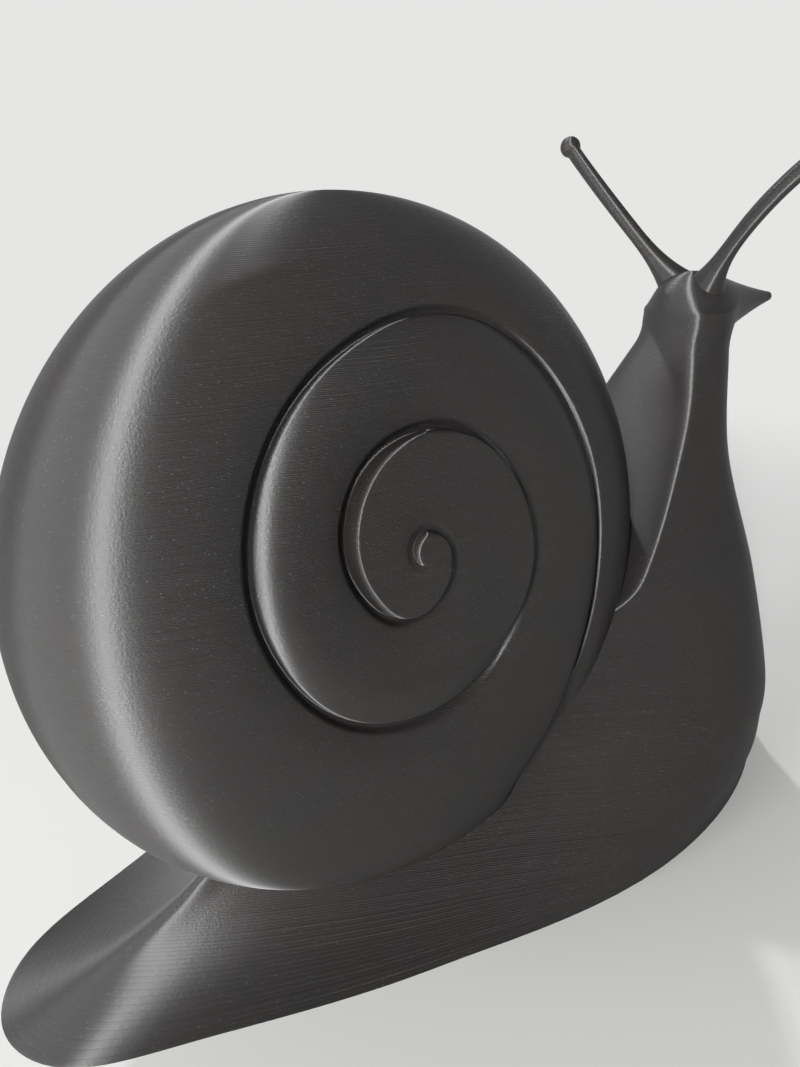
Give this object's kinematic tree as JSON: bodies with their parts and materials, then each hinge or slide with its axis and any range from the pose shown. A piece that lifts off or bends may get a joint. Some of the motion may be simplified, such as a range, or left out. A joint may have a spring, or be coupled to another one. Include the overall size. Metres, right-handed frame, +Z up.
{
  "type": "snail figurine",
  "caption": "Free-standing snail figurine with a broad foot, a keeled tail, an upright neck, slim ball-tipped eye stalks and a large leaning coiled shell.",
  "frame": {"origin": "on the floor, under the middle of the figurine's bounding box", "axes": "+X towards the snout, +Y to the snail's left, +Z up"},
  "size_m": [0.1508, 0.0674, 0.1057],
  "materials": {
    "body_plastic": "satin layered print in graphite grey",
    "shell_plastic": "satin layered print in graphite grey"
  },
  "bodies": {
    "root": {"body": "body_plastic", "shell": "shell_plastic", "left_eye_stalk": "body_plastic", "right_eye_stalk": "body_plastic"}
  },
  "joints": []
}
